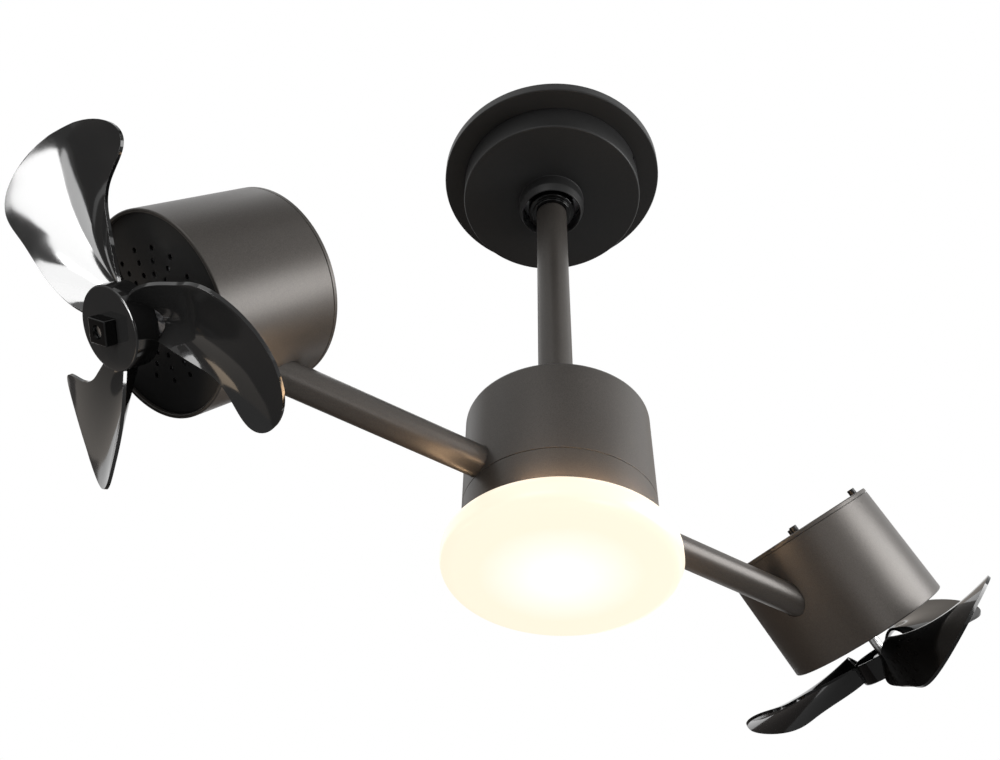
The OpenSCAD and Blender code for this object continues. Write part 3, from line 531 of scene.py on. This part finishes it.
def moved(bm, matrix):
    bmesh.ops.transform(bm, matrix=matrix, verts=bm.verts)
    return bm


def joined(*parts):
    """Puts several meshes into one."""
    whole = bmesh.new()
    for part in parts:
        piece = bpy.data.meshes.new("part")
        part.to_mesh(piece)
        whole.from_mesh(piece)
        bpy.data.meshes.remove(piece)
        part.free()
    return whole


def shaped(bm, *modifiers):
    """Runs modifiers, given as (type, settings), on a mesh and returns the result."""
    data = bpy.data.meshes.new("blank")
    bm.to_mesh(data)
    bm.free()
    blank = bpy.data.objects.new("blank", data)
    scene.collection.objects.link(blank)
    for kind, settings in modifiers:
        modifier = blank.modifiers.new(kind, kind)
        for key, value in settings.items():
            setattr(modifier, key, value)
    result = bmesh.new()
    result.from_object(blank, bpy.context.evaluated_depsgraph_get())
    bpy.data.objects.remove(blank)
    return result


def cut(bm, *tools):
    """Cuts the closed tool meshes out of a closed mesh."""
    data = bpy.data.meshes.new("tool")
    whole = joined(*tools)
    whole.to_mesh(data)
    whole.free()
    tool = bpy.data.objects.new("tool", data)
    scene.collection.objects.link(tool)
    result = shaped(bm, ("BOOLEAN", {"object": tool, "operation": "DIFFERENCE", "solver": "EXACT"}))
    bpy.data.objects.remove(tool)
    return result


def made(name, bm, body, node, finish=None):
    """Makes the finished piece that stands for a node, in the node's finish or in another."""
    bmesh.ops.remove_doubles(bm, verts=bm.verts, dist=2e-6)
    for face in bm.faces:
        face.smooth = True
    for edge in bm.edges:
        edge.smooth = len(edge.link_faces) == 2 and edge.calc_face_angle(0) < SHARP
    data = bpy.data.meshes.new(name)
    bm.to_mesh(data)
    bm.free()
    slot = finish or SLOT_OF[node]
    data.materials.append(FINISHES[slot])
    piece = bpy.data.objects.new(name, data)
    scene.collection.objects.link(piece)
    normals = piece.modifiers.new("normals", "WEIGHTED_NORMAL")
    normals.keep_sharp = True
    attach(piece, body)
    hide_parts(node)
    print(f"{name}: {len(data.polygons)} faces")
    return piece


# %% [markdown]
# ## Canopy
# The ceiling plate is a shallow pressed pan with a rolled rim. The canopy below it is a drum with a
# raised collar round the rod, and the collar's foot tapers in. Two L-shaped slots in the drum's wall
# slide over studs in the plate, and a short turn locks them; one of them shows from below.

# %% Ceiling plate and canopy
PLATE_R, PLATE_H = 98.8, 10.2
CANOPY_R, CANOPY_H = 80, 28.6
COLLAR_R, COLLAR_H = 29.2, 11.2
FOOT_R, FOOT_H = 26.6, 7
SHEET, COLLAR_T, FOOT_T = 1.5, 2, 1
SLIP = 0.3    # gap between pieces that meet without touching
CANOPY_BOTTOM = -PLATE_H - CANOPY_H
COLLAR_Z = CANOPY_BOTTOM - COLLAR_H
PLATE_HOLE_R = 60
STUD_RIM_R, STUD_RIM_T, STUD_RIM_FOOT = 78.2, 2, -22.2
STUD_ANGLE, STUD_Z, LOCK_TURN = -46.5, -16.2, math.radians(10)
SLOT_HALF, SLOT_INNER_R, SLOT_OUTER_R, MOUTH_H = 2.4, 77, 82, 9
STUD_TURNS = [math.radians(STUD_ANGLE + 180 * i) for i in range(2)]

plate = turned([(PLATE_HOLE_R, -PLATE_H), (STUD_RIM_R - STUD_RIM_T, -PLATE_H),
                (STUD_RIM_R - STUD_RIM_T, STUD_RIM_FOOT), (STUD_RIM_R, STUD_RIM_FOOT),
                (STUD_RIM_R, -PLATE_H), (PLATE_R, -PLATE_H), (PLATE_R, 0), (PLATE_R - SHEET, 0),
                (PLATE_R - SHEET, -PLATE_H + SHEET), (PLATE_HOLE_R, -PLATE_H + SHEET)],
               {0: 0.4, 5: 1.2, 6: 0.5, 7: 0.5})
made("ceiling_plate_pan", plate, "ceiling_bracket", "ceiling_plate")

drum = turned([(COLLAR_R - COLLAR_T, COLLAR_Z), (FOOT_R - FOOT_T, COLLAR_Z - FOOT_H),
               (FOOT_R, COLLAR_Z - FOOT_H), (COLLAR_R, COLLAR_Z), (COLLAR_R, CANOPY_BOTTOM),
               (CANOPY_R, CANOPY_BOTTOM), (CANOPY_R, -PLATE_H - SLIP),
               (CANOPY_R - SHEET, -PLATE_H - SLIP), (CANOPY_R - SHEET, CANOPY_BOTTOM + SHEET),
               (COLLAR_R - COLLAR_T, CANOPY_BOTTOM + SHEET)],
              {1: 0.3, 2: 0.4, 3: 0.8, 4: 0.5, 5: 1.6, 6: 0.3, 7: 0.3, 8: 0.8})
slot_tools = []
for a in STUD_TURNS:
    groove = bmesh.new()
    square = [groove.verts.new((r * MM, 0, (STUD_Z + z) * MM))
              for r, z in ((SLOT_INNER_R, -SLOT_HALF), (SLOT_OUTER_R, -SLOT_HALF),
                           (SLOT_OUTER_R, SLOT_HALF), (SLOT_INNER_R, SLOT_HALF))]
    groove.faces.new(square)
    end = math.asin(SLOT_HALF / CANOPY_R)
    moved(groove, Matrix.Rotation(a + end, 4, "Z"))
    bmesh.ops.spin(groove, geom=groove.faces[:], cent=(0, 0, 0), axis=(0, 0, 1),
                   angle=-LOCK_TURN - end, steps=6)
    bmesh.ops.recalc_face_normals(groove, faces=groove.faces)
    mouth = block((SLOT_OUTER_R - SLOT_INNER_R, 2 * SLOT_HALF, MOUTH_H),
                  ((SLOT_OUTER_R + SLOT_INNER_R) / 2, 0, STUD_Z - SLOT_HALF + MOUTH_H / 2))
    slot_tools += [groove, moved(mouth, Matrix.Rotation(a - LOCK_TURN, 4, "Z"))]
for tool in slot_tools:
    drum = cut(drum, tool)
made("canopy_drum", drum, "canopy", "canopy_cover")

# %% [markdown]
# ## Rod
# The rod is a plain tube that hangs in the ball. Below the canopy's collar a glossy stepped ring
# closes the gap round it; its two lips are what catches the light in the dark collar.

# %% Rod and ring
ROD_R, ROD_WALL = 13.35, 2
ROD_TOP, ROD_BOTTOM = -8, -362.6
CAP_R, CAP_TOP, CAP_H = 20.7, -44.3, 14
CAP_STEP, CAP_LIP_H, CAP_GAP = 3.6, 2.6, 0.15
tube = turned([(ROD_R - ROD_WALL, ROD_BOTTOM), (ROD_R, ROD_BOTTOM), (ROD_R, ROD_TOP),
               (ROD_R - ROD_WALL, ROD_TOP)], {0: 0.3, 1: 0.5, 2: 0.5, 3: 0.3}, steps=96)
made("rod_tube", tube, "fan_body", "downrod")
CAP_FOOT = CAP_TOP - CAP_H
ring = turned([(ROD_R + CAP_GAP, CAP_FOOT), (CAP_R - CAP_STEP, CAP_FOOT),
               (CAP_R - CAP_STEP, CAP_FOOT + CAP_LIP_H), (CAP_R, CAP_FOOT + CAP_LIP_H),
               (CAP_R, CAP_TOP), (ROD_R + CAP_GAP, CAP_TOP)],
              {0: 0.3, 1: 0.9, 2: 0.5, 3: 1.4, 4: 0.8}, steps=120)
made("rod_ring", ring, "fan_body", "rod_cap")

# %% [markdown]
# ## Lamp housing
# Two spun shells meet at a fine seam: the upper one has a softly rounded shoulder and a hole on each
# side for the arms, the lower one is a plain ring. The diffuser below bulges past them.

# %% Housing shells
HOUSING_R, HOUSING_TOP, SHELL_BOTTOM = 66.75, -313.8, -391.7
RING_TOP, RING_BOTTOM = -392.1, -420.8
WALL, SHOULDER, ROD_HOLE_R = 1.5, 4, ROD_R + 0.6
ARM_R, ARM_Z = 11.25, -379.9
DRILL_REACH = 80    # reaches past the housing's wall on both sides
shell = turned([(ROD_HOLE_R, HOUSING_TOP - WALL), (ROD_HOLE_R, HOUSING_TOP),
                (HOUSING_R, HOUSING_TOP), (HOUSING_R, SHELL_BOTTOM),
                (HOUSING_R - WALL, SHELL_BOTTOM), (HOUSING_R - WALL, HOUSING_TOP - WALL)],
               {1: 0.4, 2: SHOULDER, 3: 0.35, 4: 0.3, 5: SHOULDER - WALL}, segments=6)
across = Matrix.Translation((0, 0, ARM_Z * MM)) @ Matrix.Rotation(math.pi / 2, 4, "Y")
shell = cut(shell, moved(cylinder(ARM_R + SLIP, -DRILL_REACH, DRILL_REACH), across))
made("lamp_housing_shell", shell, "fan_body", "housing_shell")

WEB_TOP, WEB_HOLE_R = -400.45, 12
skirt = turned([(HOUSING_R, RING_BOTTOM), (HOUSING_R, RING_TOP), (HOUSING_R - WALL, RING_TOP),
                (HOUSING_R - WALL, WEB_TOP), (WEB_HOLE_R, WEB_TOP), (WEB_HOLE_R, WEB_TOP - WALL),
                (HOUSING_R - WALL, WEB_TOP - WALL), (HOUSING_R - WALL, RING_BOTTOM)],
               {0: 0.4, 1: 0.35, 2: 0.3, 7: 0.3})
made("lamp_housing_ring", skirt, "fan_body", "lower_ring")

# %% Diffuser
BULB_R, BULB_H, BULB_WALL = 79.4, 24, 2.4
NECK_R, NECK_TOP = 64.95, RING_BOTTOM + 9.5
BULB_TOP = RING_BOTTOM - SLIP
BULB_BASE = BULB_TOP - BULB_H
bulb = turned([(0, BULB_BASE), (BULB_R, BULB_BASE), (BULB_R, BULB_TOP), (NECK_R, BULB_TOP),
               (NECK_R, NECK_TOP), (NECK_R - BULB_WALL, NECK_TOP),
               (NECK_R - BULB_WALL, BULB_TOP - BULB_WALL),
               (BULB_R - BULB_WALL, BULB_TOP - BULB_WALL), (BULB_R - BULB_WALL, BULB_BASE + BULB_WALL),
               (0, BULB_BASE + BULB_WALL)],
              {1: 9, 2: 9.5, 3: 0.4, 4: 0.6, 5: 0.6, 7: 7.1, 8: 6.6}, steps=240, segments=10)
made("opal_diffuser", bulb, "lamp_diffuser", "diffuser")

# %% [markdown]
# ## Heads
# A head is built in its own frame, with +Z out of its front and +X to the arm, and then set at the
# arm's end. The shell is one drawn tube with a rolled front lip. A thin trim ring closes the rear,
# with a recessed cover on which four tall black screws stand. The front plate sits inside the lip and
# has three rings of small air holes. It wears satin black, because the holes would drown in gloss.

# %% Head frame
HEAD_REACH, HEAD_Z, HEAD_CANT = 266.4, -343.8, math.radians(41.5)
HEAD_R, HEAD_WALL, RIM = 64.6, 1.2, 45.75
HEAD_BORE = HEAD_R - HEAD_WALL
ARM_TIP = HEAD_REACH - 41.3


def head_place(side):
    """From a head's own frame to the fan's."""
    return (Matrix.Translation((side * HEAD_REACH * MM, 0, HEAD_Z * MM))
            @ Matrix.Rotation(math.pi - side * HEAD_CANT, 4, "Y")
            @ Matrix.Rotation(0 if side == RIGHT else math.pi, 4, "Z"))


def arm_place(side):
    """From a tube that stands on Z to the arm's axis on that side."""
    return (Matrix.Translation((0, 0, ARM_Z * MM))
            @ Matrix.Rotation(0 if side == RIGHT else math.pi, 4, "Z")
            @ Matrix.Rotation(math.pi / 2, 4, "Y"))


def around(angles, bm_at):
    """Copies of a mesh at the given angles, in degrees, round Z."""
    return [moved(bm_at(), Matrix.Rotation(math.radians(a), 4, "Z")) for a in angles]


# %% Arms, shells, front plates, trims, covers and screws
ARM_ROOT, ARM_WALL = 6.5, 1.6
ARM_HOLE_START = 188    # the hole for the arm is cut from here outwards, in the near wall only
FRONT_FACE, FRONT_T, FRONT_SKIRT, PLATE_BORE = RIM - 3, 1.5, 7, 12
LIP, LIP_GAP = 2.6, 0.15
SHELL_REAR, TRIM_FRONT, TRIM_SPIGOT = -RIM + 3.5, -RIM + 3.1, 4.9
TRIM_BORE = HEAD_BORE - 2.0
REAR_FACE, COVER_T, COVER_SKIRT = -RIM + 3.5, 1.5, 4.5
COVER_R = TRIM_BORE - SLIP
SCREW_ANGLES, SCREW_R = (58, 148, 238, 328), 55.5
SCREW_TOP, SCREW_TIP = REAR_FACE - 8.15, SHELL_REAR + 10.8
SCREW_HEAD_R, SCREW_HEAD_H, SCREW_SHANK_R = 3, 8, 1.5
SOCKET_R, SOCKET_H = 1.45, 2.2
SCREW_PROFILE = [(0, SCREW_TOP), (SCREW_HEAD_R, SCREW_TOP),
                 (SCREW_HEAD_R, SCREW_TOP + SCREW_HEAD_H), (SCREW_SHANK_R, SCREW_TOP + SCREW_HEAD_H),
                 (SCREW_SHANK_R, SCREW_TIP), (0, SCREW_TIP)]
SCREW_ROUNDS = {1: 0.6, 2: 0.3, 4: 0.4}
VENT_R, VENT_RINGS, VENT_COUNT = 1.75, (25, 33, 41), 15
VENTS = [(r, 360 / VENT_COUNT * (i + 0.5)) for r in VENT_RINGS for i in range(VENT_COUNT)]


def cover_screw():
    """One tall cover screw with a hexagon socket in its head, standing where the first one does."""
    socket = cylinder(SOCKET_R, SCREW_TOP - 1, SCREW_TOP + SOCKET_H, steps=6)
    screw = cut(turned(SCREW_PROFILE, SCREW_ROUNDS, 32), socket)
    return moved(screw, Matrix.Translation((SCREW_R * MM, 0, 0)))


for side, word in SIDE_NAMES.items():
    here = head_place(side)
    arm = turned([(ARM_R - ARM_WALL, ARM_ROOT), (ARM_R, ARM_ROOT), (ARM_R, ARM_TIP),
                  (ARM_R - ARM_WALL, ARM_TIP)],
                 {0: 0.3, 1: 0.4, 2: 0.4, 3: 0.3}, steps=96)
    made(f"{word}_arm", moved(arm, arm_place(side)), f"{word}_arm", f"{word}_arm_tube")

    can = turned([(HEAD_BORE, SHELL_REAR), (HEAD_R, SHELL_REAR), (HEAD_R, RIM),
                  (HEAD_R - LIP, RIM), (HEAD_R - LIP, FRONT_FACE + LIP_GAP),
                  (HEAD_BORE, FRONT_FACE + LIP_GAP)], {1: 0.3, 2: 1.0, 3: 1.0, 4: 0.2})
    arm_hole = moved(cylinder(ARM_R + SLIP, ARM_HOLE_START, HEAD_REACH), arm_place(side))
    can = cut(moved(can, here), arm_hole)
    made(f"{word}_can", can, f"{word}_arm", f"{word}_head_shell")

    face = turned([(PLATE_BORE, FRONT_FACE - FRONT_T), (HEAD_BORE - SLIP - 1.5, FRONT_FACE - FRONT_T),
                   (HEAD_BORE - SLIP - 1.5, FRONT_FACE - FRONT_SKIRT),
                   (HEAD_BORE - SLIP, FRONT_FACE - FRONT_SKIRT), (HEAD_BORE - SLIP, FRONT_FACE),
                   (PLATE_BORE, FRONT_FACE)], {0: 0.3, 4: 0.6, 5: 0.5})
    holes = [moved(cylinder(VENT_R, FRONT_FACE - 3, FRONT_FACE + 2, 24),
                   Matrix.Rotation(math.radians(a), 4, "Z") @ Matrix.Translation((r * MM, 0, 0)))
             for r, a in VENTS]
    made(f"{word}_face", moved(cut(face, *holes), here), f"{word}_arm", f"{word}_front_plate",
         finish="satin_black")

    trim = turned([(TRIM_BORE, -RIM), (HEAD_R, -RIM), (HEAD_R, TRIM_FRONT),
                   (HEAD_BORE - SLIP, TRIM_FRONT), (HEAD_BORE - SLIP, TRIM_FRONT + TRIM_SPIGOT),
                   (TRIM_BORE, TRIM_FRONT + TRIM_SPIGOT)], {0: 0.6, 1: 0.9, 2: 0.3})
    made(f"{word}_trim", moved(trim, here), f"{word}_arm", f"{word}_rear_trim")

    back = turned([(0, REAR_FACE), (COVER_R, REAR_FACE), (COVER_R, REAR_FACE + COVER_SKIRT),
                   (COVER_R - 1.2, REAR_FACE + COVER_SKIRT), (COVER_R - 1.2, REAR_FACE + COVER_T),
                   (0, REAR_FACE + COVER_T)], {1: 1.0, 2: 0.3, 3: 0.3, 4: 0.5})
    made(f"{word}_back", moved(back, here), f"{word}_arm", f"{word}_rear_cover")

    bolts = around(SCREW_ANGLES, cover_screw)
    made(f"{word}_back_bolts", moved(joined(*bolts), here), f"{word}_arm", f"{word}_cover_screws")

# %% [markdown]
# ## Propellers
# A blade starts as a flat grid. Its two edges follow curves that were found from the six blades in
# the picture, and its height along the axis is a smooth twisted sheet. Solidify gives it thickness,
# and a bevel rounds its edges.

# %% Blade shape
HUB_R, HUB_H, HUB_FRONT = 25.8, 16.2, 78.3
TIP_R, TIP_START, BLADE_T, EDGE_ROUND = 120.1, 83.5, 2.2, 0.7
ROOT_R, END_R = HUB_R - 1.2, TIP_R - 0.3    # the sheet starts inside the hub and ends just short
ROW_POWER, TIP_POWER = 1.6, 2.4    # how rows crowd towards the tip, and how full the tip is
# The leading edge's angle is a cubic of the radius past the hub's. The trailing edge's angle stays the
# same up to SWEEP_START and then changes with the square of the radius, by SWEEP over SWEEP_SPAN mm.
LEAD_TERMS = (50.4, -0.338, -0.0036, 0.000054)
TRAIL, SWEEP, SWEEP_START, SWEEP_SPAN = -15.1, -10.9, 62, 30
# The sheet's height from the hub's front is a sum of terms in t, an angle in radians, and in q, which
# is the radius from SHEET_MIDDLE in steps of SHEET_STEP: a constant, then t, t * t, q, q * q, q * t.
SHEET_TERMS = (-17.8, 15.1, 39.7, 2.6, -1.5, 31.9)
SHEET_MIDDLE, SHEET_STEP = 70, 50


def edge_angles(r):
    """Angles, in degrees, of a blade's leading and trailing edges at radius r."""
    past = max(0, r - SWEEP_START) / SWEEP_SPAN
    lead = sum(factor * (r - HUB_R) ** power for power, factor in enumerate(LEAD_TERMS))
    return lead, TRAIL + SWEEP * past * past


def blade_point(along, across_share):
    """A point of the blade's middle sheet, in mm, from shares of its length and width."""
    r = ROOT_R + (END_R - ROOT_R) * (1 - (1 - along) ** ROW_POWER)
    past = max(0, r - TIP_START)
    lead, trail = edge_angles(r - past * past / (2 * (TIP_R - TIP_START)))
    half = (lead - trail) / 2 * math.sqrt(max(0, 1 - (past / (TIP_R - TIP_START)) ** TIP_POWER))
    t = math.radians((lead + trail) / 2 + half * (2 * across_share - 1))
    q = (r - SHEET_MIDDLE) / SHEET_STEP
    terms = (1, t, t * t, q, q * q, q * t)
    height = sum(factor * term for factor, term in zip(SHEET_TERMS, terms))
    return Vector((r * math.cos(t), r * math.sin(t), HUB_FRONT + height))


def blade():
    sheet = bmesh.new()
    bmesh.ops.create_grid(sheet, x_segments=44, y_segments=22, size=0.5)
    for v in sheet.verts:
        v.co = blade_point(min(max(v.co.x + 0.5, 0), 1), min(max(v.co.y + 0.5, 0), 1)) * MM
    bmesh.ops.recalc_face_normals(sheet, faces=sheet.faces)
    return shaped(sheet, ("SOLIDIFY", {"thickness": BLADE_T * MM, "offset": 0.0}),
                  ("BEVEL", {"width": EDGE_ROUND * MM, "segments": 3, "limit_method": "ANGLE",
                             "angle_limit": math.radians(50)}))


# %% Hubs, blades, nuts and shafts
PHASES = {LEFT: 40, RIGHT: 58.3}
SHAFT_R, SHAFT_REAR, SHAFT_FRONT = 4, -16.55, HUB_FRONT + 6
NUT_SIDE, NUT_H, NUT_GAP, NUT_BEVEL = 15.5, 8, 0.15, 0.9
NUT_SINK_R, NUT_SINK = 5.6, 4
CUP_WALL, CUP_FLOOR, BOSS_R, BORE_R = 2.2, 2.5, 8.5, SHAFT_R + 0.05
BOSS_LIFT = 2
RIB_SIZE, RIB_RADIUS, RIB_LIFT = (17, 1.5, HUB_H - 5), 15.9, 1.5

for side, word in SIDE_NAMES.items():
    here = head_place(side) @ Matrix.Rotation(math.radians(PHASES[side]), 4, "Z")
    foot = HUB_FRONT - HUB_H
    cup = turned([(HUB_R - CUP_WALL, foot), (HUB_R, foot), (HUB_R, HUB_FRONT), (BORE_R, HUB_FRONT),
                  (BORE_R, foot + BOSS_LIFT), (BOSS_R, foot + BOSS_LIFT),
                  (BOSS_R, HUB_FRONT - CUP_FLOOR),
                  (HUB_R - CUP_WALL, HUB_FRONT - CUP_FLOOR)],
                 {0: 0.6, 1: 0.8, 2: 1.1, 3: 0.3, 5: 0.4, 6: 0.8, 7: 0.8}, steps=120)
    rib_middle = (RIB_RADIUS, 0, foot + RIB_LIFT + HUB_H / 2)
    ribs = around(range(30, 390, 60), lambda: block(RIB_SIZE, rib_middle))
    propeller = joined(cup, *ribs, *around((0, 120, 240), blade))
    moulding = made(f"{word}_propeller_moulding", moved(propeller, here), f"{word}_rotor",
                    f"{word}_propeller")
    if side == LEFT:
        left_rotor_only.objects.link(moulding)

    nut_foot, nut_top = HUB_FRONT + NUT_GAP, HUB_FRONT + NUT_GAP + NUT_H
    nut = block((NUT_SIDE, NUT_SIDE, NUT_H), (0, 0, nut_foot + NUT_H / 2))
    bmesh.ops.bevel(nut, geom=nut.edges[:], offset=NUT_BEVEL * MM, segments=3, profile=0.5,
                    affect="EDGES", material=-1)
    nut = cut(nut, cylinder(SHAFT_R + 0.15, HUB_FRONT - 1, HUB_FRONT + 10),
              cylinder(NUT_SINK_R, nut_top - NUT_SINK, HUB_FRONT + 12))
    made(f"{word}_nut", moved(nut, here), f"{word}_rotor", f"{word}_blade_nut")

    axle = turned([(0, SHAFT_REAR), (SHAFT_R, SHAFT_REAR), (SHAFT_R, SHAFT_FRONT), (0, SHAFT_FRONT)],
                  {1: 0.4, 2: 0.6}, steps=64)
    made(f"{word}_axle", moved(axle, head_place(side)), f"{word}_rotor", f"{word}_shaft")
